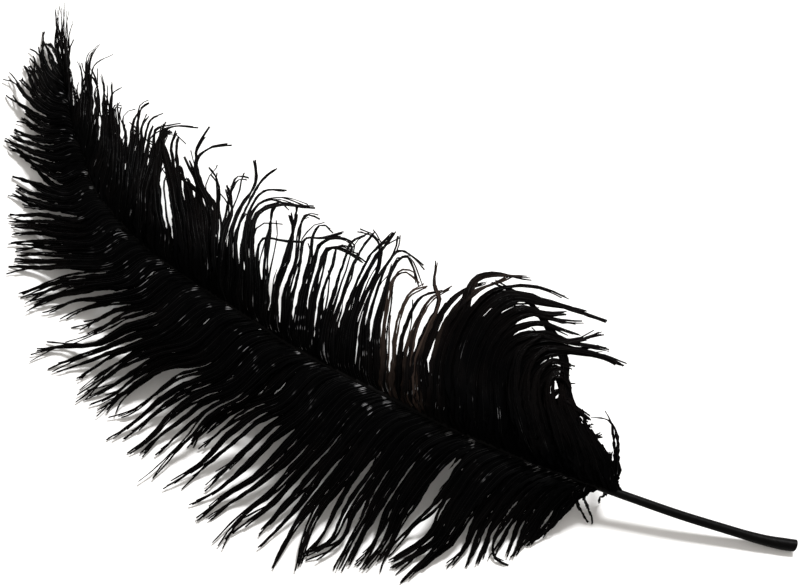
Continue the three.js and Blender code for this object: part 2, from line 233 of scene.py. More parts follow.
# Tufts of the standing vane, read the same way, the root a place or a station. A third number in a
# place is its height in millimetres. Twenty of the roots, from (460, 427) to (612, 491), were moved
# 6 pixels right and 2.6 down after they were read.
STANDING_READINGS = [
    ((66, 92), 3, (58, 50), (57, 30), (55, 10)),
    ((67, 96), 2, (61, 50), (60, 30), (58, 4)),
    ((68, 100), 2, (63, 55), (62, 30), (61, 5)),
    ((69, 106), 2, (66, 60), (64, 35), (65, 4)),
    ((70, 110), 2, (68, 65), (66, 45), (68, 10)),
    ((71, 114), 2, (69, 65), (69, 50), (70, 30), (73, 20)),
    ((73, 125), 3, (72, 100), (71, 80), (70, 66)),
    ((75, 131), 3, (76, 105), (74, 90), (73, 78)),
    ((77, 138), 2, (79, 110), (77, 95), (76, 84)),
    ((80, 148), 2, (82, 120), (84, 95), (82, 75), (82, 60)),
    ((82, 154), 3, (85, 125), (87, 95), (86, 72), (88, 55), (92, 48)),
    ((84, 160), 3, (88, 130), (90, 100), (88, 75), (92, 55), (98, 45)),
    ((86, 165), 1, (90, 135), (92, 105), (90, 80), (95, 64), (112, 55)),
    ((88, 170), 3, (93, 140), (97, 115), (99, 95), (95, 78), (91, 70)),
    ((91, 176), 2, (96, 145), (98, 118), (95, 98), (96, 83)),
    ((94, 182), 2, (99, 150), (102, 125), (102, 102), (104, 88), (105, 74)),
    ((97, 188), 3, (102, 155), (105, 128), (105, 105), (106, 97)),
    ((100, 194), 2, (104, 160), (108, 130), (108, 105), (107, 86)),
    ((104, 199), 2, (107, 165), (110, 135), (111, 110), (112, 95), (121, 86)),
    ((108, 205), 2, (110, 170), (112, 140), (112, 110), (113, 82)),
    ((112, 211), 2, (113, 175), (115, 145), (114, 120), (113, 105), (119, 101)),
    ((117, 217), 2, (117, 180), (119, 150), (119, 125), (118, 103)),
    ((120, 220), 3, (120, 185), (123, 160), (121, 145), (116, 125)),
    ((123, 224), 2, (123, 190), (125, 165), (126, 140), (126, 120), (131, 115), (135, 117)),
    ((127, 228), 2, (126, 195), (127, 170), (131, 145), (134, 122), (140, 108), (144, 102)),
    ((130, 231), 2, (129, 200), (131, 175), (136, 145), (139, 120), (143, 107), (149, 103)),
    ((133, 234), 3, (132, 205), (134, 180), (139, 150), (137, 130), (131, 122)),
    ((136, 237), 3, (135, 205), (137, 180), (142, 150), (142, 125), (146, 114)),
    ((139, 240), 2, (137, 205), (139, 180), (144, 155), (147, 130), (150, 119), (162, 112)),
    ((142, 243), 3, (140, 210), (141, 185), (146, 160), (149, 140), (149, 125)),
    ((145, 246), 2, (143, 215), (144, 190), (150, 165), (154, 145), (156, 130), (166, 125), (178, 121)),
    ((148, 249), 3, (146, 218), (147, 195), (152, 170), (157, 150), (160, 135), (162, 122)),
    ((151, 251), 2, (149, 220), (150, 197), (154, 175), (158, 150), (164, 130), (180, 128), (195, 133)),
    ((154, 254), 2, (152, 222), (153, 200), (157, 175), (157, 155), (160, 140), (170, 131)),
    ((157, 256), 3, (155, 225), (156, 205), (158, 185), (160, 165), (162, 148), (160, 137)),
    ((161, 259), 2, (159, 228), (158, 208), (158, 190), (160, 170), (163, 150), (160, 133)),
    ((165, 262), 3, (163, 232), (160, 210), (158, 190), (155, 165), (154, 150)),
    ((183, 274), 2, (179, 245), (174, 215), (168, 180), (163, 155), (161, 140)),
    ((186, 276), 3, (182, 248), (177, 218), (171, 185), (166, 155), (163, 135), (170, 131)),
    ((189, 278), 2, (185, 250), (180, 222), (174, 190), (170, 165), (166, 145), (163, 137)),
    ((192, 280), 3, (188, 252), (183, 225), (178, 195), (174, 165), (172, 145), (174, 131)),
    ((195, 282), 3, (191, 255), (187, 228), (182, 200), (179, 175), (175, 150), (173, 138)),
    ((198, 284), 2, (194, 256), (190, 230), (187, 205), (184, 185), (180, 165)),
    ((201, 286), 3, (197, 258), (193, 232), (191, 208), (189, 190), (184, 175)),
    ((204, 288), 3, (200, 260), (196, 235), (193, 212), (192, 192), (188, 178)),
    ((207, 289), 3, (203, 262), (199, 238), (196, 215), (195, 195), (190, 182)),
    ((210, 291), 3, (206, 265), (203, 240), (201, 215), (198, 195), (192, 178)),
    ((213, 293), 2, (209, 268), (207, 243), (206, 220), (202, 200), (196, 182), (185, 158)),
    ((216, 296), 2, (212, 270), (210, 245), (210, 222), (207, 200), (199, 180), (195, 155), (202, 125)),
    ((219, 298), 2, (214, 272), (212, 247), (213, 225), (210, 205), (200, 182), (197, 160), (210, 147),
     (232, 143)),
    ((222, 300), 3, (217, 274), (215, 250), (216, 228), (214, 205), (206, 185)),
    ((225, 302), 2, (220, 276), (218, 252), (219, 230), (217, 212), (219, 190), (219, 168)),
    ((226, 303), 3, (222, 265, 36), (226, 232, 38), (232, 212, 38), (230, 200, 37), (223, 187, 36)),
    ((228, 304), 2, (223, 278), (221, 255), (222, 235), (226, 212), (230, 195), (236, 177), (248, 177)),
    ((233, 307), 3, (229, 270, 36), (231, 235, 39), (241, 208, 39), (253, 187, 38), (257, 160, 35)),
    ((239, 311), 3, (236, 272, 36), (237, 238, 39), (248, 205, 40), (261, 180, 38), (272, 166, 36)),
    ((246, 315), 3, (242, 275, 36), (243, 238, 39), (252, 205, 40), (265, 190, 38), (286, 195, 36)),
    ((252, 319), 3, (247, 280, 36), (247, 240, 39), (256, 208, 40), (275, 198, 38), (308, 203, 36)),
    ((258, 323), 3, (253, 285, 36), (252, 245, 39), (258, 215, 40), (280, 205, 39), (314, 212, 36)),
    ((264, 327), 3, (259, 290, 36), (257, 255, 39), (264, 238, 39), (281, 240, 37), (302, 241, 35)),
    ((269, 331), 3, (265, 300, 35), (266, 265, 38), (268, 235, 39), (273, 212, 38), (281, 203, 36)),
    ((275, 334), 3, (272, 310, 35), (277, 285, 37), (286, 252, 39), (291, 228, 38), (286, 214, 36)),
    ((281, 338), 3, (276, 318, 34), (278, 290, 37), (289, 255, 39), (295, 228, 39), (298, 208, 37)),
    ((287, 342), 3, (284, 318, 34), (287, 290, 37), (296, 258, 39), (300, 228, 39), (308, 216, 37),
     (318, 222, 35)),
    ((293, 345), 3, (289, 325, 34), (291, 300, 37), (300, 262, 39), (305, 240, 39), (322, 238, 36),
     (345, 236, 34)),
    ((300, 349), 3, (297, 325, 34), (300, 300, 37), (309, 262, 39), (313, 237, 39), (322, 225, 38),
     (330, 234, 36)),
    ((307, 353), 3, (303, 325, 34), (306, 300, 37), (316, 264, 39), (321, 244, 39), (338, 238, 37),
     (354, 244, 35), (355, 256, 34)),
    ((314, 357), 3, (311, 330, 34), (314, 300, 37), (323, 265, 39), (330, 248, 39), (346, 251, 37),
     (366, 258, 35)),
    ((321, 361), 3, (317, 335, 34), (321, 300, 38), (333, 265, 40), (338, 246, 39), (352, 249, 37)),
    ((328, 365), 3, (322, 352, 33), (326, 325, 36), (336, 290, 39), (346, 260, 40), (350, 242, 39),
     (366, 232, 36)),
    ((335, 368), 3, (330, 352, 33), (334, 325, 36), (345, 290, 39), (355, 262, 40), (363, 245, 38),
     (375, 232, 36)),
    ((342, 372), 3, (339, 350, 34), (343, 325, 37), (353, 292, 39), (364, 265, 40), (374, 250, 39),
     (397, 236, 36)),
    ((349, 376), 3, (345, 352, 34), (350, 325, 37), (360, 292, 39), (371, 267, 41), (382, 250, 39),
     (400, 236, 36)),
    ((356, 380), 3, (352, 352, 35), (357, 320, 38), (366, 292, 40), (378, 266, 41), (378, 240, 39),
     (362, 226, 36)),
    ((364, 384), 3, (360, 355, 35), (364, 325, 38), (372, 295, 40), (383, 270, 41), (396, 252, 39),
     (405, 237, 37)),
    ((372, 388), 3, (367, 360, 35), (368, 325, 38), (376, 295, 41), (387, 264, 42), (401, 249, 40),
     (412, 258, 38), (422, 271, 36)),
    ((380, 392), 3, (376, 362, 35), (378, 330, 38), (383, 300, 41), (393, 270, 42), (406, 256, 41),
     (424, 285, 38)),
    ((388, 396), 3, (384, 365, 35), (385, 335, 39), (388, 305, 41), (394, 280, 43), (405, 271, 42),
     (419, 284, 40)),
    ((397, 400), 3, (394, 378, 34), (395, 345, 39), (400, 315, 42), (410, 294, 44), (428, 287, 42)),
    ((405, 404), 3, (402, 380, 35), (403, 350, 39), (409, 320, 43), (422, 297, 45), (442, 290, 43)),
    ((413, 408), 3, (407, 390, 35), (408, 360, 39), (416, 325, 43), (430, 302, 46), (454, 288, 44)),
    ((421, 411), 3, (416, 392, 35), (416, 362, 39), (425, 330, 43), (438, 303, 46), (434, 283, 45),
     (438, 262, 43)),
    ((430, 415), 4, (425, 395, 35), (424, 365, 39), (433, 335, 43), (447, 308, 46), (465, 290, 46),
     (486, 282, 43)),
    ((438, 418), 4, (434, 398, 35), (433, 370, 39), (441, 338, 43), (455, 310, 47), (478, 290, 48),
     (515, 282, 44)),
    ((446, 421), 5, (442, 402, 35), (441, 372, 39), (449, 340, 43), (463, 312, 47), (474, 282, 48),
     (492, 275, 46), (530, 281, 43)),
    ((460, 427), 5, (450, 402, 35), (449, 372, 39), (457, 340, 43), (470, 313, 48), (495, 290, 50),
     (540, 288, 46), (570, 298, 43)),
    ((468, 430), 5, (458, 405, 35), (457, 375, 39), (465, 343, 43), (478, 316, 48), (505, 294, 50),
     (545, 300, 46), (606, 321, 40)),
    ((476, 433), 5, (466, 408, 34), (465, 378, 38), (472, 347, 43), (486, 321, 47), (512, 300, 50),
     (550, 304, 46), (586, 312, 42)),
    ((484, 436), 5, (474, 410, 34), (473, 380, 38), (479, 350, 42), (493, 326, 46), (520, 308, 49),
     (548, 314, 45), (566, 315, 43)),
    ((492, 439), 5, (482, 412, 34), (481, 382, 37), (486, 353, 42), (500, 330, 46), (527, 314, 48),
     (560, 321, 44), (584, 324, 42)),
    ((500, 442), 5, (490, 415, 33), (489, 385, 37), (493, 357, 41), (507, 335, 45), (535, 323, 47),
     (565, 329, 43), (580, 331, 41)),
    ((508, 446), 5, (498, 418, 33), (497, 388, 36), (500, 360, 40), (513, 340, 44), (540, 333, 45),
     (570, 340, 41), (603, 333, 38)),
    ((516, 449), 5, (506, 420, 32), (504, 392, 36), (506, 365, 40), (518, 347, 43), (545, 340, 44),
     (575, 344, 40), (607, 341, 37)),
    ((524, 453), 5, (513, 425, 31), (511, 397, 35), (512, 372, 39), (523, 354, 42), (548, 345, 43),
     (575, 349, 39), (602, 346, 37)),
    ((532, 456), 5, (521, 428, 31), (518, 400, 34), (518, 377, 38), (528, 359, 41), (552, 349, 42),
     (590, 352, 38), (626, 360, 35)),
    ((540, 460), 5, (529, 432, 30), (525, 405, 33), (524, 382, 37), (533, 364, 40), (554, 354, 41),
     (590, 354, 37), (624, 366, 34)),
    ((540, 464), 5, (520, 425, 36), (512, 385, 42), (520, 350, 46), (545, 335, 46)),
    ((548, 463), 5, (537, 436, 29), (532, 410, 32), (530, 390, 36), (538, 371, 39), (555, 361, 40),
     (574, 366, 37)),
    ((552, 469), 5, (532, 430, 34), (524, 392, 40), (530, 362, 44), (552, 350, 44)),
    ((556, 467), 5, (544, 440, 28), (539, 414, 31), (536, 395, 35), (543, 378, 38), (557, 369, 39),
     (568, 378, 36)),
    ((564, 470), 5, (552, 444, 27), (546, 418, 31), (542, 400, 34), (548, 385, 37), (560, 379, 38),
     (566, 390, 35)),
    (90, 5, (545, 435, 32), (536, 400, 38), (540, 372, 42), (556, 362, 42)),
    ((570, 473), 3, (573, 435, 28), (566, 390, 34), (562, 355, 39), (550, 330, 43), (525, 300, 47),
     (492, 284, 50)),
    ((572, 474), 5, (560, 448, 26), (553, 424, 30), (549, 407, 33), (554, 393, 36), (564, 391, 36),
     (571, 402, 33)),
    ((575, 477), 5, (557, 438, 30), (546, 402, 36), (548, 378, 40), (560, 370, 40)),
    ((580, 478), 5, (568, 453, 25), (561, 430, 28), (556, 412, 31), (560, 400, 34), (570, 401, 34),
     (580, 411, 31)),
    ((584, 480), 3, (580, 440, 27), (570, 400, 33), (565, 365, 38), (557, 338, 42), (535, 308, 46),
     (505, 289, 49)),
    ((585, 481), 5, (567, 440, 28), (555, 405, 35), (553, 380, 39)),
    ((588, 482), 5, (577, 460, 24), (570, 438, 27), (565, 420, 30), (568, 407, 32), (578, 409, 32),
     (587, 420, 29)),
    ((596, 485), 5, (585, 462, 23), (578, 442, 26), (574, 425, 29), (578, 414, 30), (589, 423, 28)),
    ((594, 484), 5, (577, 445, 27), (562, 410, 34), (556, 385, 38)),
    ((602, 487), 5, (587, 450, 26), (570, 415, 32), (560, 388, 37)),
    ((604, 488), 5, (593, 466, 22), (586, 446, 25), (583, 430, 27), (593, 428, 27)),
    (72, 5, (596, 458, 24), (580, 425, 30), (566, 398, 35)),
    ((612, 491), 5, (601, 470, 21), (595, 450, 24), (592, 437, 26), (600, 440, 25)),
    ((612, 490), 4, (608, 472, 20), (603, 455, 22), (601, 444, 24)),
    ((615, 491), 5, (604, 464, 22), (591, 435, 27), (577, 410, 31)),
    ((617, 492), 4, (613, 476, 19), (609, 462, 21), (607, 452, 22)),
    (68, 5, (611, 472, 20), (601, 448, 24), (590, 427, 28)),
    ((619, 493), 1, (614, 465, 21), (611, 430, 26), (609, 411, 28)),
    ((620, 493), 1, (618, 468, 20), (618, 440, 24), (610, 421, 27), (592, 416, 27)),
]

# Tufts that fill gaps between the ones read, in millimetres: the station along the shaft, how many
# barbs there are, and the points that the tuft runs through.
DROOPING_INFILL = [
    (197, 4, (207, 90, 19), (216, 99, 11), (221, 108, 5), (223, 119, 1)),
    (192.5, 4, (200, 89, 22), (208, 97, 15), (214, 107, 8), (218, 122, 2)),
]
STANDING_INFILL = [
    (275, 2, (282, 62, 30), (290, 54, 32), (299, 46, 33)),
    (273, 2, (280, 63, 29), (288, 55, 32), (297, 47, 34)),
    (95, 5, (105, 38, 29), (112, 31, 32), (118, 26, 36), (119, 19, 38), (117, 12, 39), (112, 9, 37)),
    (91.5, 5, (101, 37, 28), (109, 30, 31), (115, 26, 35), (116, 20, 38), (114, 14, 38), (110, 14, 36)),
]

# How a tuft leaves the shaft, in shares of the way to its first point: how far it has gone, how far
# of that is along the shaft, and how much it has risen.
LEAVE_SHARE = 0.3
LEAVE_ALONG = 0.12
LEAVE_RISE = 0.06
GUIDE_POINTS = 28

# A tuft's barbs have gathered at this share of its length, and then narrow by this share. The rest
# are scatters in millimetres or in half widths, and the roots' height in radii of the shaft.
GATHERED_AT = 0.45
TIP_NARROWING = 0.75
ROOT_SCATTER = 0.15
ROOT_HEIGHT = 0.45
ACROSS_SCATTER = 0.25
LOWEST_LAYER = -0.3

# The length of shaft that a tuft's roots take up keeps to this range.
PITCH_RANGE = (1.5, 5)

# The slow waves of a soft barb: how many there are along it, and how much of them is upwards.
WAVE_CYCLES = (1.2, 2.7)
WAVE_RISE = 0.6

# Short barbs are put between neighbouring tufts up to this far apart, from this station on.
WIDEST_FILLED_GAP = 14
FIRST_FILLED_STATION = 80
FILLER_POINTS = GUIDE_POINTS // 2
FILLER_PLACES = (0.15, 0.85)
FILLER_REACHES = (0.65, 1.2)
FILLER_SINK = 0.8
FILLER_WANDER = 0.5

# A barb's stem has this many sides and loses this share of its radius towards its tip.
STEM_SIDES = 3
STEM_TAPER = 0.6

# The mat of barbules close along a barb: the shares of the barb at which its width is given, the
# range of its ragged edge, how much it tilts, and how far its edge is swept along.
MAT_SHARES = (0, 0.12, 0.35, 0.6, 1)
MAT_RAGGED = (0.55, 1.35)
MAT_TILT = 0.35
MAT_SWEEP = 0.8

# The barbules that stand out of it: their lengths along the barb, and how they vary.
BARBULE_REACH = ((0, 0.4), (0.15, 0.9), (0.4, 1), (0.8, 0.7), (1, 0.35))
BARBULE_LENGTHS = (0.5, 1.15)
BARBULE_OPENINGS = (0.6, 1.3)
BARBULE_ROLL = 0.5
BARBULE_TWIST = 0.5
BARBULE_BEND = 0.3
BARBULE_HALF_WIDTH = 0.075
BARBULE_MIDDLE_WIDTH = 0.8

# Nothing comes nearer to the surface than this, for barbs and for the quill.
LOWEST_BARB = 0.03
LOWEST_QUILL = 0.02

# A kind of barb: its stem's radius at the root, the half width of its mat at MAT_SHARES, how many
# barbules stand out on each millimetre, the length of the longest, how far they open in degrees,
# how much closer they lie at the tip, 0 to 1, and the share at its root where none stand out.
Kind = namedtuple("Kind", "radius mat per_mm length angle hug bare")
STEM_RADIUS = 0.2
DROOPING_KIND = Kind(STEM_RADIUS, (0.5, 1.3, 1.1, 0.75, 0.35), 3.0, 3.0, 30, 0.5, 0.3)
DROOPING_FILLER_KIND = Kind(STEM_RADIUS, (0.5, 1.2, 1.3, 1.2, 0.1), 2.0, 2.4, 24, 0.5, 0.5)
STANDING_KIND = Kind(STEM_RADIUS, None, 3.2, 2.4, 20, 0.3, 0.15)
STANDING_LONG_KIND = Kind(STEM_RADIUS, (0.8, 1.0, 0.6, 0.45, 0.3), 3.4, 2.0, 18, 0.4, 0.2)
STANDING_FILLER_KIND = Kind(STEM_RADIUS, None, 2.0, 2.0, 20, 0.3, 0.4)

# The drooping vane: half width of a tuft for each of its barbs, its thickness, how ragged its tips
# are, and how its barbs wander and hook.
DROOPING_HALF_WIDTH = 0.28
DROOPING_THICKNESS = 1.6
DROOPING_RAGGED = 0.06
DROOPING_WANDER = 0.8
DROOPING_HOOKED = 0.25
DROOPING_HOOK = 2
HOOK_START = 0.75
DROOPING_FILLERS = 3
DROOPING_FILLER_REACH = 0.45
DROOPING_CUTS = (300, 240, 190, 140)

# The standing vane, the same way.
STANDING_THICKNESS = 1.0
STANDING_RAGGED = 0.03
STANDING_WANDER = 0.6
STANDING_HOOK_START = 0.8
STANDING_HOOK_SCATTER = 0.4
STANDING_LONG = 1
STANDING_LONG_REACH = 0.9
STANDING_LONG_WANDER = 0.8
STANDING_LONG_HOOK = 2
STANDING_FILLERS = 2
STANDING_FILLER_REACH = 0.42
STANDING_CUTS = (290, 240, 180, 120)

# By station along the shaft, for the standing vane: half width of a tuft, half width of a barb's
# mat, that of its end, the hook of its end, and tone. Its strands stand apart in the middle, and
# part of it is browner, partly its own colour and partly painted light shining through thin barbs.
STANDING_WIDTHS = (
    (68, 0.9), (90, 1.4), (145, 1.5), (165, 1.2), (176, 0.45), (246, 0.45), (256, 0.7), (350, 0.8),
    (380, 0.7),
)
STANDING_MATS = (
    (62, 0.7), (80, 1.2), (130, 1.2), (145, 0.95), (152, 0.6), (170, 0.55), (240, 0.55),
    (250, 0.75), (262, 0.9), (300, 0.8), (350, 0.6), (380, 0.4),
)
STANDING_END_MATS = ((60, 0.3), (145, 0.3), (160, 0.7), (240, 0.7), (300, 0.4), (372, 0.2))
STANDING_HOOKS = ((60, 1), (150, 1.5), (300, 1.8), (365, 1.2), (372, 0.3))
STANDING_TONES = ((100, 0.05), (135, 0.1), (148, 0.55), (165, 0.5), (175, 0.1), (380, 0.05))

# The mat at MAT_SHARES in shares of that half width, of a tuft's barb up to its end and of a filler.
STANDING_MAT_SHAPE = (1.6, 2.2, 1.2, 0.95)
STANDING_FILLER_SHAPE = (1.6, 2.2, 1.6, 1.2, 0.1)

# How a barb's own tone varies: the range of a number and the power that it is raised to.
OWN_TONES = (0.1, 1.1)
LONG_TONES = (0, 1.1)
FILLER_TONES = (0.3, 1)
TONE_POWER = 1.3


def unit(vectors):
    return vectors / np.maximum(np.linalg.norm(vectors, axis=-1, keepdims=True), 1e-9)


def smooth(t):
    t = np.clip(t, 0, 1)
    return t * t * (3 - 2 * t)


def by_row(rows, value):
    return np.interp(value, [row[0] for row in rows], [row[1] for row in rows])


# The camera's directions and place in millimetres, and its focal length in pixels.
BACK = np.array([
    math.sin(CAMERA_AZIMUTH) * math.cos(CAMERA_ELEVATION),
    -math.cos(CAMERA_AZIMUTH) * math.cos(CAMERA_ELEVATION),
    math.sin(CAMERA_ELEVATION),
])
RIGHT = unit(np.cross(-BACK, UP))
OVER = np.cross(RIGHT, -BACK)
EYE = (CAMERA_TARGET + BACK * CAMERA_DISTANCE) / MM
FOCAL = PICTURE_WIDTH * CAMERA_LENS / CAMERA_SENSOR


def seen_at(column, row, height):
    """Point in millimetres, at this height, that the camera sees at a place in the photo."""
    ray = -BACK * FOCAL + RIGHT * (column - PICTURE_WIDTH / 2) - OVER * (row - PICTURE_HEIGHT / 2)
    return EYE + ray * (height - EYE[2]) / ray[2]


def picture_places(points):
    """Columns and rows of the photo at which the camera sees points."""
    offset = points - EYE
    depth = offset @ -BACK
    columns = PICTURE_WIDTH / 2 + FOCAL * (offset @ RIGHT) / depth
    rows = PICTURE_HEIGHT / 2 - FOCAL * (offset @ OVER) / depth
    return np.stack([columns, rows], 1)


def root_points():
    """Closely spaced points of the line that the roots were read against."""
    knots = [seen_at(*reading).round(1) for reading in QUILL_READINGS]
    knots = np.array([*knots, *ROOT_LINE])
    spans = zip(knots, knots[1:])
    return np.concatenate([np.linspace(a, b, ROOT_LINE_STEPS, endpoint=False) for a, b in spans])


line_points = root_points()
line_places = picture_places(line_points)


def nearest_root(column, row):
    """Index of the point of the root line that is seen nearest to a place."""
    return int(np.argmin(np.hypot(line_places[:, 0] - column, line_places[:, 1] - row)))


def sloped_root(column, row):
    """Index of the point of the root line that a drooping tuft's first place leads back to."""
    slope = by_row(ROOT_SLOPES, column)
    gap = np.abs(row - slope * (line_places[:, 0] - column) - line_places[:, 1])
    gap[line_places[:, 0] <= column + NEAREST_ROOT] = math.inf
    return int(np.argmin(gap))


def length_shares(root_place, places):
    """Share of a tuft's length, as seen, at each of its places."""
    chain = np.array([root_place, *places], float)
    along = np.cumsum(np.linalg.norm(np.diff(chain, axis=0), axis=1))
    return along / along[-1]


def whole_tuft(station, count, places, heights):
    """(station, count of barbs, points in whole millimetres) of a tuft seen at these places."""
    points = []
    for (column, row), height in zip(places, heights):
        x, y, _ = seen_at(column, row, height)
        points.append((round(x), round(y), round(height)))
    return (station, count, *points)


def drooping_tuft(reading):
    root, count, *places = reading
    index = nearest_root(*root) if isinstance(root, tuple) else sloped_root(*places[0])
    x, _, height = line_points[index]
    station = root if isinstance(root, (int, float)) else round(x)
    shares = length_shares(line_places[index], places)
    rows = [(share, height * part + more) for share, part, more in DROOP_HEIGHTS]
    return whole_tuft(station, count, places, by_row(rows, shares))


def standing_tuft(reading):
    root, count, *places = reading
    if not isinstance(root, tuple):
        return whole_tuft(root, count, [place[:2] for place in places], [place[2] for place in places])
    index = nearest_root(*root)
    x, _, height = line_points[index]
    if len(places[0]) == 3:
        heights = [place[2] for place in places]
    else:
        shares = length_shares(line_places[index], places)
        heights = height + by_row(STANDING_RISES, root[0]) * by_row(RISE_SHARES, shares)
    return whole_tuft(round(x), count, [place[:2] for place in places], heights)


def with_infill(tufts, infill):
    """The tufts with the infill put before the first tuft of a lower station."""
    for extra in infill:
        index = next(i for i, tuft in enumerate(tufts) if tuft[0] < extra[0])
        tufts.insert(index, extra)
    return tufts


drooping_tufts = with_infill([drooping_tuft(row) for row in DROOPING_READINGS], DROOPING_INFILL)
standing_tufts = with_infill([standing_tuft(row) for row in STANDING_READINGS], STANDING_INFILL)


def respace(dense, count, length_share=1.0):
    """Evenly spaced points along a polyline, up to a share of its length."""
    along = np.concatenate([[0], np.cumsum(np.linalg.norm(np.diff(dense, axis=0), axis=1))])
    wanted = np.linspace(0, along[-1] * length_share, count)
    return np.stack([np.interp(wanted, along, dense[:, axis]) for axis in range(3)], 1)


def spline(points, count):
    """Centripetal curve through the points, as `count` points spaced evenly along it."""
    points = np.asarray(points, float)
    ends = 2 * points[[0, -1]] - points[[1, -2]]
    padded = np.vstack([ends[:1], points, ends[1:]])
    knots = np.concatenate([[0], np.cumsum(np.sqrt(np.linalg.norm(np.diff(padded, axis=0), axis=1)))])
    dense = []
    share = np.linspace(0, 1, 17)[:-1, None]
    for i in range(1, len(padded) - 2):
        p0, p1, p2, p3 = padded[i - 1:i + 3]
        t0, t1, t2, t3 = knots[i - 1:i + 3]
        t = t1 + (t2 - t1) * share
        a1 = (t1 - t) / (t1 - t0) * p0 + (t - t0) / (t1 - t0) * p1
        a2 = (t2 - t) / (t2 - t1) * p1 + (t - t1) / (t2 - t1) * p2
        a3 = (t3 - t) / (t3 - t2) * p2 + (t - t2) / (t3 - t2) * p3
        b1 = (t2 - t) / (t2 - t0) * a1 + (t - t0) / (t2 - t0) * a2
        b2 = (t3 - t) / (t3 - t1) * a2 + (t - t1) / (t3 - t1) * a3
        dense.append((t2 - t) / (t2 - t1) * b1 + (t - t1) / (t2 - t1) * b2)
    dense.append(points[-1:])
    return respace(np.vstack(dense), count)


shaft = spline(SHAFT_CENTRELINE, SHAFT_POINTS)


def shaft_at(station):
    """Point on the shaft where it crosses a station along X, its heading and its radius."""
    share = np.interp(station, shaft[:, 0], np.linspace(0, 1, SHAFT_POINTS))
    index = int(np.clip(share * (SHAFT_POINTS - 1), 1, SHAFT_POINTS - 2))
    point = np.array([np.interp(station, shaft[:, 0], shaft[:, axis]) for axis in range(3)])
    return point, unit(shaft[index + 1] - shaft[index - 1]), float(by_row(SHAFT_RADII, share))


def frames(points):
    """Tangent, level side and over directions at each point of a curve."""
    tangent = unit(np.gradient(points, axis=0))
    side = unit(np.cross(tangent, UP))
    return tangent, side, np.cross(side, tangent)


def rings(side, over, sides):
    """Directions of the corners round a tube, evenly turned about it, at each point of its curve."""
    turns = np.arange(sides) * 2 * math.pi / sides
    return side[:, None] * np.cos(turns)[None, :, None] + over[:, None] * np.sin(turns)[None, :, None]


def wander(points, amount):
    """Gives a curve the slow waves of a soft barb, none at its root and most at its tip."""
    share = np.linspace(0, 1, len(points))
    _, side, over = frames(points)
    for direction, scale in ((side, 1.0), (over, WAVE_RISE)):
        wave = np.zeros(len(points))
        for cycles in WAVE_CYCLES:
            phase = random.uniform(0, 2 * math.pi)
            wave += (np.sin(2 * math.pi * cycles * share + phase) - math.sin(phase)) / cycles
        points = points + direction * (wave * share * amount * scale)[:, None]
    return points


def hook(points, start, sideways):
    """Bends the end of a curve to one side, from a start share of its length."""
    share = np.linspace(0, 1, len(points))
    _, side, _ = frames(points)
    bend = np.clip((share - start) / (1 - start), 0, 1) ** 2
    return points + side * (bend * sideways)[:, None]


def tuft_guide(tuft):
    """Middle line of a tuft: it leaves the shaft along it, then runs through the tuft's points."""
    station, _, *through = tuft
    root, heading, _ = shaft_at(station)
    first = np.array(through[0], float)
    step = np.linalg.norm(first - root)
    leave = root + (first - root) * LEAVE_SHARE + heading * step * LEAVE_ALONG + UP * step * LEAVE_RISE
    return spline([root, leave, *through], GUIDE_POINTS)


def tuft_barbs(tuft, pitch, vane_side, half_width, thickness, ragged):
    """Curves of a tuft's barbs: rooted in a row along the shaft, they close up into the tuft."""
    station, count = tuft[:2]
    root, _, radius = shaft_at(station)
    guide = tuft_guide(tuft)
    share = np.linspace(0, 1, GUIDE_POINTS)
    _, side, over = frames(guide)
    gathered = smooth(share / GATHERED_AT)
    tapered = 1 - TIP_NARROWING * smooth((share - GATHERED_AT) / (1 - GATHERED_AT))
    curves = []
    for k in range(count):
        place = (k + 0.5) / count - 0.5
        own_root, _, _ = shaft_at(station - place * pitch + random.normal(0, ROOT_SCATTER))
        shift = own_root + UP * radius * ROOT_HEIGHT - root
        across = -2 * place * half_width + random.normal(0, ACROSS_SCATTER * half_width)
        above = random.uniform(LOWEST_LAYER, 1) * thickness
        curve = guide + shift * (1 - gathered)[:, None]
        curve = curve + side * (across * vane_side * gathered * tapered)[:, None]
        curve = curve + over * (above * gathered * tapered)[:, None]
        curves.append(respace(curve, GUIDE_POINTS, 1 - abs(random.normal(0, ragged)) * (k > 0)))
    return curves


def filler_barbs(tufts, per_gap, reach):
    """(station, curve) of short barbs between neighbouring tufts, which close the vane inwards."""
    curves = []
    for tuft, following in zip(tufts, tufts[1:]):
        if abs(tuft[0] - following[0]) > WIDEST_FILLED_GAP or following[0] < FIRST_FILLED_STATION:
            continue
        first = tuft_guide(tuft)
        second = tuft_guide(following)
        for k in range(per_gap):
            blend = (k + random.uniform(*FILLER_PLACES)) / per_gap
            curve = first + (second - first) * blend - UP * random.uniform(0, FILLER_SINK)
            curve = respace(curve, FILLER_POINTS, reach * random.uniform(*FILLER_REACHES))
            curves.append((tuft[0] + (following[0] - tuft[0]) * blend, wander(curve, FILLER_WANDER)))
    return curves


def tuft_pitches(tufts):
    """Length of shaft that each tuft's roots take up."""
    stations = [tuft[0] for tuft in tufts]
    padded = np.array([stations[0], *stations, stations[-1]], float)
    return np.clip((padded[:-2] - padded[2:]) / 2, *PITCH_RANGE)


def barb_marks(along, stem, tone):
    """What the barb material reads at each corner: share along the barb, on the stem or not, tone."""
    return np.stack([along, np.full(len(along), float(stem)), np.full(len(along), float(tone))], 1)


def join(parts):
    """One (corners, triangles, marks) out of several."""
    corners, faces, marks, offset = [], [], [], 0
    for part_corners, part_faces, part_marks in parts:
        corners.append(part_corners)
        faces.append(part_faces + offset)
        marks.append(part_marks)
        offset += len(part_corners)
    return np.vstack(corners), np.vstack(faces), np.vstack(marks)


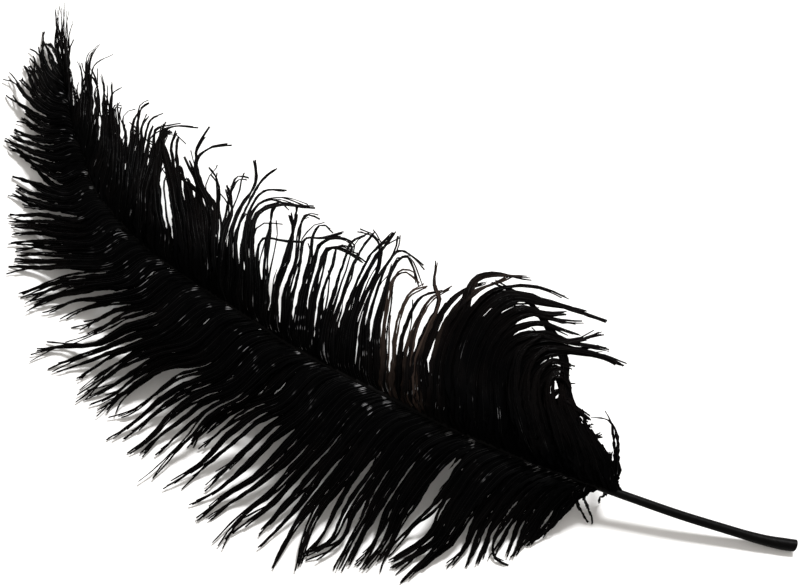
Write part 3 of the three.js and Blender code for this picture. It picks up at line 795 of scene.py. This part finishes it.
def tube_faces(rows, sides):
    """Triangles between neighbouring rows of corners round a tube, which has no ends."""
    row = np.arange(rows - 1)[:, None]
    k = np.arange(sides)[None]
    a = row * sides + k
    b = row * sides + (k + 1) % sides
    lower = np.stack([a, b, b + sides], 2).reshape(-1, 3)
    upper = np.stack([a, b + sides, a + sides], 2).reshape(-1, 3)
    return lower, upper


def stem_part(points, radius, tone):
    """The thin tapered stem of a barb."""
    _, side, over = frames(points)
    share = np.linspace(0, 1, len(points))
    reach = radius * (1 - STEM_TAPER * share)
    corners = (points[:, None] + rings(side, over, STEM_SIDES) * reach[:, None, None]).reshape(-1, 3)
    marks = barb_marks(np.repeat(share, STEM_SIDES), 1, tone)
    return corners, np.vstack(tube_faces(len(points), STEM_SIDES)), marks


def mat_part(points, width, turn, tone):
    """The ragged mat of close barbules along one side of a barb, turn 1 or -1."""
    tangent, side, over = frames(points)
    rows = len(points)
    ragged = width * random.uniform(*MAT_RAGGED, rows)
    tilt = random.normal(0, MAT_TILT)
    outward = turn * side * math.cos(tilt) + over * math.sin(tilt)
    edge = points + outward * ragged[:, None] + tangent * (MAT_SWEEP * ragged)[:, None]
    a = 2 * np.arange(rows - 1)
    faces = np.vstack([np.stack([a, a + 1, a + 3], 1), np.stack([a, a + 3, a + 2], 1)])
    marks = barb_marks(np.repeat(np.linspace(0, 1, rows), 2), 0, tone)
    return np.stack([points, edge], 1).reshape(-1, 3), faces, marks


def barbule_part(points, kind, tone):
    """The barbules that stand out of a barb: bent blades of three triangles."""
    tangent, side, over = frames(points)
    barb_length = np.linalg.norm(np.diff(points, axis=0), axis=1).sum()
    count = int(kind.per_mm * barb_length * (1 - kind.bare))
    at = np.sort(random.uniform(kind.bare, 1, count))
    where = at * (len(points) - 1)
    low = np.minimum(where.astype(int), len(points) - 2)
    part = (where - low)[:, None]
    base = points[low] * (1 - part) + points[low + 1] * part
    ahead = unit(tangent[low] * (1 - part) + tangent[low + 1] * part)
    roll = random.normal(0, BARBULE_ROLL, count)[:, None]
    out = side[low] * random.choice([-1.0, 1.0], count)[:, None] * np.cos(roll) + over[low] * np.sin(roll)
    opening = np.radians(kind.angle) * random.uniform(*BARBULE_OPENINGS, count) * (1 - kind.hug * at)
    reach = kind.length * by_row(BARBULE_REACH, at)
    reach = (reach * random.uniform(*BARBULE_LENGTHS, count))[:, None]
    later_opening = BARBULE_BEND * opening
    first = ahead * np.cos(opening)[:, None] + out * np.sin(opening)[:, None]
    later = ahead * np.cos(later_opening)[:, None] + out * np.sin(later_opening)[:, None]
    middle = base + first * reach * 0.5
    tip = middle + later * reach * 0.5
    across = unit(np.cross(first, over[low]) + BARBULE_TWIST * random.normal(0, 1, (count, 3)))
    half = across * BARBULE_HALF_WIDTH
    half_middle = half * BARBULE_MIDDLE_WIDTH
    blades = [base - half, base + half, middle - half_middle, middle + half_middle, tip]
    pattern = np.array([[0, 1, 3], [0, 3, 2], [2, 3, 4]])
    first_corner = len(blades) * np.arange(count)[:, None, None]
    faces = (first_corner + pattern[None]).reshape(-1, 3)
    marks = barb_marks(np.repeat(at, len(blades)), 0, tone)
    return np.stack(blades, 1).reshape(-1, 3), faces, marks


def barb_mesh(points, kind, mat=None, tone=0.0):
    """A barb of a kind along a curve, with a mat of its own or the kind's, and a tone, 0 to 1, for
    how brown it is."""
    share = np.linspace(0, 1, len(points))
    width = np.interp(share, MAT_SHARES, kind.mat if mat is None else mat)
    parts = [stem_part(points, kind.radius, tone)]
    for turn in (1, -1):
        parts.append(mat_part(points, width, turn, tone))
    parts.append(barbule_part(points, kind, tone))
    corners, faces, marks = join(parts)
    corners[:, 2] = np.maximum(corners[:, 2], LOWEST_BARB)
    return corners, faces, marks


def mesh_object(name, parts, material):
    """One mesh object from a list of (corners in millimetres, triangles, marks)."""
    corners, faces, marks = join(parts)
    mesh = bpy.data.meshes.new(name)
    mesh.from_pydata((corners * MM).tolist(), [], faces.tolist())
    mesh.update()
    mesh.shade_smooth()
    attribute = mesh.attributes.new("marks", "FLOAT_VECTOR", "POINT")
    attribute.data.foreach_set("vector", marks.astype(np.float32).ravel())
    mesh.materials.append(material)
    piece = bpy.data.objects.new(name, mesh)
    bpy.context.scene.collection.objects.link(piece)
    return piece


BARB_BLACK = (0.0003, 0.0003, 0.0004, 1)
BARB_DARK = (0.0025, 0.0019, 0.0018, 1)
# Brown of the thin ends and the browner barbs: partly their own colour, partly painted light shining
# through them.
BARB_BROWN = (0.035, 0.024, 0.019, 1)
# Pale grey painted on the stems in spots: a painted highlight standing for glints.
PAINTED_GLINT_COLOUR = (0.3, 0.3, 0.31, 1)
SHADE_PLACES = (0.35, 0.65, 1.0)
QUILL_BLACK = (0.0002, 0.0002, 0.0002, 1)
QUILL_DARK = (0.003, 0.0028, 0.0028, 1)


def barb_material():
    """Dyed keratin barbs: near black with a dull sheen, browner where they thin out, partly as painted
    light shining through them, and with painted glints: pale grey on the bare stems near their roots.
    """
    material = bpy.data.materials.new("barbs")
    material.use_nodes = True
    nodes, links = material.node_tree.nodes, material.node_tree.links
    shader = nodes["Principled BSDF"]
    place = nodes.new("ShaderNodeTexCoord")
    marks = nodes.new("ShaderNodeAttribute")
    marks.attribute_name = "marks"
    parted = nodes.new("ShaderNodeSeparateXYZ")
    links.new(marks.outputs["Vector"], parted.inputs["Vector"])

    def noise(scale, detail):
        node = nodes.new("ShaderNodeTexNoise")
        node.inputs["Scale"].default_value = scale
        node.inputs["Detail"].default_value = detail
        links.new(place.outputs["Object"], node.inputs["Vector"])
        return node.outputs["Fac"]

    def remap(value, low, high, to_low, to_high):
        node = nodes.new("ShaderNodeMapRange")
        node.inputs["From Min"].default_value = low
        node.inputs["From Max"].default_value = high
        node.inputs["To Min"].default_value = to_low
        node.inputs["To Max"].default_value = to_high
        links.new(value, node.inputs["Value"])
        return node.outputs["Result"]

    def combine(operation, one, other):
        node = nodes.new("ShaderNodeMath")
        node.operation = operation
        links.new(one, node.inputs[0])
        links.new(other, node.inputs[1])
        return node.outputs["Value"]

    along, stem, tone = parted.outputs["X"], parted.outputs["Y"], parted.outputs["Z"]
    # Browner towards the tips, with the barb's tone and at random: partly the thin barbs' own colour,
    # partly painted light shining through them.
    brown_and_painted_backlight = combine("ADD", remap(along, 0, 1, 0, 0.3), tone)
    brown_and_painted_backlight = combine("ADD", brown_and_painted_backlight, remap(noise(60, 4), 0, 1, 0, 0.5))
    shade = nodes.new("ShaderNodeValToRGB")
    shade.color_ramp.elements[0].position = SHADE_PLACES[0]
    shade.color_ramp.elements[0].color = BARB_BLACK
    shade.color_ramp.elements[1].position = SHADE_PLACES[2]
    shade.color_ramp.elements[1].color = BARB_BROWN
    middle = shade.color_ramp.elements.new(SHADE_PLACES[1])
    middle.color = BARB_DARK
    links.new(brown_and_painted_backlight, shade.inputs["Fac"])
    # Painted highlight: in noise spots on the bare stems near the roots the base colour turns pale grey to
    # stand for glints, and the specular is raised there too.
    bare = combine("MULTIPLY", remap(along, 0.1, 0.4, 1, 0), stem)
    glint = combine("MULTIPLY", bare, remap(noise(190, 1), 0.58, 0.68, 0, 1))
    glint = combine("MULTIPLY", glint, remap(noise(90, 1), 0.42, 0.58, 0, 1))
    painted_glint = nodes.new("ShaderNodeMix")
    painted_glint.data_type = "RGBA"
    painted_glint.inputs[7].default_value = PAINTED_GLINT_COLOUR
    links.new(glint, painted_glint.inputs["Factor"])
    links.new(shade.outputs["Color"], painted_glint.inputs[6])
    links.new(painted_glint.outputs[2], shader.inputs["Base Color"])
    sheen = combine("ADD", glint, remap(stem, 0, 1, 0, 0.12))
    links.new(remap(sheen, 0, 1, 0.015, 0.8), shader.inputs["Specular IOR Level"])
    links.new(remap(stem, 0, 1, 0.6, 0.3), shader.inputs["Roughness"])
    return material


def quill_material():
    """Dyed horn: near black, satin, with fine ridges along the quill."""
    material = bpy.data.materials.new("quill")
    material.use_nodes = True
    nodes, links = material.node_tree.nodes, material.node_tree.links
    shader = nodes["Principled BSDF"]
    shader.inputs["Specular IOR Level"].default_value = 0.04
    place = nodes.new("ShaderNodeTexCoord")
    stretch = nodes.new("ShaderNodeMapping")
    stretch.inputs["Rotation"].default_value = (0, 0, math.radians(-23))
    stretch.inputs["Scale"].default_value = (60, 900, 900)
    links.new(place.outputs["Object"], stretch.inputs["Vector"])
    ridges = nodes.new("ShaderNodeTexNoise")
    ridges.inputs["Scale"].default_value = 1
    ridges.inputs["Detail"].default_value = 5
    links.new(stretch.outputs["Vector"], ridges.inputs["Vector"])
    shade = nodes.new("ShaderNodeValToRGB")
    shade.color_ramp.elements[0].color = QUILL_BLACK
    shade.color_ramp.elements[1].color = QUILL_DARK
    links.new(ridges.outputs["Fac"], shade.inputs["Fac"])
    links.new(shade.outputs["Color"], shader.inputs["Base Color"])
    gloss = nodes.new("ShaderNodeMapRange")
    gloss.inputs["To Min"].default_value = 0.28
    gloss.inputs["To Max"].default_value = 0.6
    links.new(ridges.outputs["Fac"], gloss.inputs["Value"])
    links.new(gloss.outputs["Result"], shader.inputs["Roughness"])
    bump = nodes.new("ShaderNodeBump")
    bump.inputs["Strength"].default_value = 0.5
    bump.inputs["Distance"].default_value = 0.0003
    links.new(ridges.outputs["Fac"], bump.inputs["Height"])
    links.new(bump.outputs["Normal"], shader.inputs["Normal"])
    return material


def quill_piece(material):
    """The quill and shaft: a tapered tube, swollen and cut at its end, with a shallow groove."""
    share = np.linspace(0, 1, QUILL_RINGS) ** RING_CROWDING
    along = share * (SHAFT_POINTS - 1)
    centre = np.stack([np.interp(along, np.arange(SHAFT_POINTS), shaft[:, axis]) for axis in range(3)], 1)
    _, side, over = frames(centre)
    turns = np.arange(QUILL_SIDES) * 2 * math.pi / QUILL_SIDES
    groove = np.exp(-((turns - GROOVE_TURN) / GROOVE_SPREAD) ** 2)
    radius = by_row(SHAFT_RADII, share)[:, None] * (1 - GROOVE_DEPTH * groove[None])
    corners = centre[:, None] + rings(side, over, QUILL_SIDES) * radius[:, :, None]
    corners[:, :, 2] = np.maximum(corners[:, :, 2], LOWEST_QUILL)
    heading = unit(shaft[1] - shaft[0])
    ahead = (corners - CUT_POINT) @ heading + corners[:, :, 2] * math.tan(CUT_SLANT)
    corners = corners + np.maximum(-ahead, 0)[:, :, None] * heading
    corners = corners.reshape(-1, 3)
    lower, upper = tube_faces(QUILL_RINGS, QUILL_SIDES)
    faces = np.stack([lower, upper], 1).reshape(-1, 3).tolist()
    first_centre = len(corners)
    corners = np.vstack([corners, corners[:QUILL_SIDES].mean(0)[None], centre[-1:]])
    last = (QUILL_RINGS - 1) * QUILL_SIDES
    for k in range(QUILL_SIDES):
        following = (k + 1) % QUILL_SIDES
        faces.append((first_centre, following, k))
        faces.append((first_centre + 1, last + k, last + following))
    marks = barb_marks(np.zeros(len(corners)), 1, 0)
    return mesh_object("quill", [(corners, np.array(faces), marks)], material)


def drooping_vane():
    """(station, barb mesh) for every barb of the drooping vane."""
    barbs = []
    for tuft, pitch in zip(drooping_tufts, tuft_pitches(drooping_tufts)):
        half_width = DROOPING_HALF_WIDTH * tuft[1]
        for curve in tuft_barbs(tuft, pitch, 1, half_width, DROOPING_THICKNESS, DROOPING_RAGGED):
            curve = wander(curve, DROOPING_WANDER)
            if random.uniform() < DROOPING_HOOKED:
                curve = hook(curve, HOOK_START, random.normal(0, DROOPING_HOOK))
            barbs.append((tuft[0], barb_mesh(curve, DROOPING_KIND)))
    for station, curve in filler_barbs(drooping_tufts, DROOPING_FILLERS, DROOPING_FILLER_REACH):
        barbs.append((station, barb_mesh(curve, DROOPING_FILLER_KIND)))
    return barbs


def standing_vane():
    """(station, barb mesh) for every barb of the standing vane."""
    barbs = []
    for tuft, pitch in zip(standing_tufts, tuft_pitches(standing_tufts)):
        half_width = by_row(STANDING_WIDTHS, tuft[0])
        shape = np.array([*STANDING_MAT_SHAPE, by_row(STANDING_END_MATS, tuft[0])])
        mat = by_row(STANDING_MATS, tuft[0]) * shape
        tone = by_row(STANDING_TONES, tuft[0])
        bend = random.normal(0, by_row(STANDING_HOOKS, tuft[0]))
        for curve in tuft_barbs(tuft, pitch, -1, half_width, STANDING_THICKNESS, STANDING_RAGGED):
            curve = wander(curve, STANDING_WANDER)
            curve = hook(curve, STANDING_HOOK_START, bend + random.normal(0, STANDING_HOOK_SCATTER))
            own_tone = tone * random.uniform(*OWN_TONES) ** TONE_POWER
            barbs.append((tuft[0], barb_mesh(curve, STANDING_KIND, mat, own_tone)))
    for station, curve in filler_barbs(standing_tufts, STANDING_LONG, STANDING_LONG_REACH):
        curve = hook(wander(curve, STANDING_LONG_WANDER), HOOK_START, random.normal(0, STANDING_LONG_HOOK))
        tone = by_row(STANDING_TONES, station) * random.uniform(*LONG_TONES) ** TONE_POWER
        barbs.append((station, barb_mesh(curve, STANDING_LONG_KIND, tone=tone)))
    for station, curve in filler_barbs(standing_tufts, STANDING_FILLERS, STANDING_FILLER_REACH):
        mat = by_row(STANDING_MATS, station) * np.array(STANDING_FILLER_SHAPE)
        tone = by_row(STANDING_TONES, station) * random.uniform(*FILLER_TONES)
        barbs.append((station, barb_mesh(curve, STANDING_FILLER_KIND, mat, tone)))
    return barbs


def vane_pieces(name, barbs, cuts, material):
    """Joins a vane's barbs into pieces, parted at these stations along the shaft."""
    edges = [math.inf, *cuts, -math.inf]
    pieces = []
    for number, (high, low) in enumerate(zip(edges, edges[1:]), 1):
        parts = [mesh for station, mesh in barbs if low <= station < high]
        pieces.append(mesh_object(f"{name}_{number}", parts, material))
    return pieces


def make_camera():
    back = Vector(BACK)
    data = bpy.data.cameras.new("camera")
    data.lens = CAMERA_LENS
    data.sensor_width = CAMERA_SENSOR
    data.sensor_fit = "HORIZONTAL"
    camera = bpy.data.objects.new("camera", data)
    camera.location = Vector(CAMERA_TARGET) + back * CAMERA_DISTANCE
    camera.rotation_euler = (-back).to_track_quat("-Z", "Y").to_euler()
    bpy.context.scene.collection.objects.link(camera)
    bpy.context.scene.camera = camera


def make_floor():
    half = FLOOR_HALF
    corners = [(-half, -half, 0), (half, -half, 0), (half, half, 0), (-half, half, 0)]
    mesh = bpy.data.meshes.new("floor")
    mesh.from_pydata(corners, [], [(0, 1, 2, 3)])
    floor = bpy.data.objects.new("floor", mesh)
    bpy.context.scene.collection.objects.link(floor)
    material = bpy.data.materials.new("floor")
    material.use_nodes = True
    shader = material.node_tree.nodes["Principled BSDF"]
    shader.inputs["Base Color"].default_value = FLOOR_COLOUR
    shader.inputs["Roughness"].default_value = FLOOR_ROUGHNESS
    mesh.materials.append(material)


def make_light(name, location, target, size, power):
    data = bpy.data.lights.new(name, "AREA")
    data.shape = "DISK"
    data.size = size
    data.energy = power
    light = bpy.data.objects.new(name, data)
    light.location = location
    light.rotation_euler = (Vector(target) - Vector(location)).to_track_quat("-Z", "Y").to_euler()
    bpy.context.scene.collection.objects.link(light)


def make_lights():
    world = bpy.data.worlds.new("studio")
    world.use_nodes = True
    background = world.node_tree.nodes["Background"]
    background.inputs["Color"].default_value = STUDIO_COLOUR
    background.inputs["Strength"].default_value = STUDIO_STRENGTH
    bpy.context.scene.world = world
    make_light("key", KEY_PLACE, LIT_PLACE, KEY_SIZE, KEY_POWER)
    bpy.context.scene.view_settings.view_transform = "Standard"


make_camera()
make_floor()
make_lights()
barbs = barb_material()
quill = quill_piece(quill_material())
pieces = [quill]
pieces += vane_pieces("drooping_vane", drooping_vane(), DROOPING_CUTS, barbs)
pieces += vane_pieces("standing_vane", standing_vane(), STANDING_CUTS, barbs)
for piece in pieces:
    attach(piece, "root")
    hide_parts("feather")
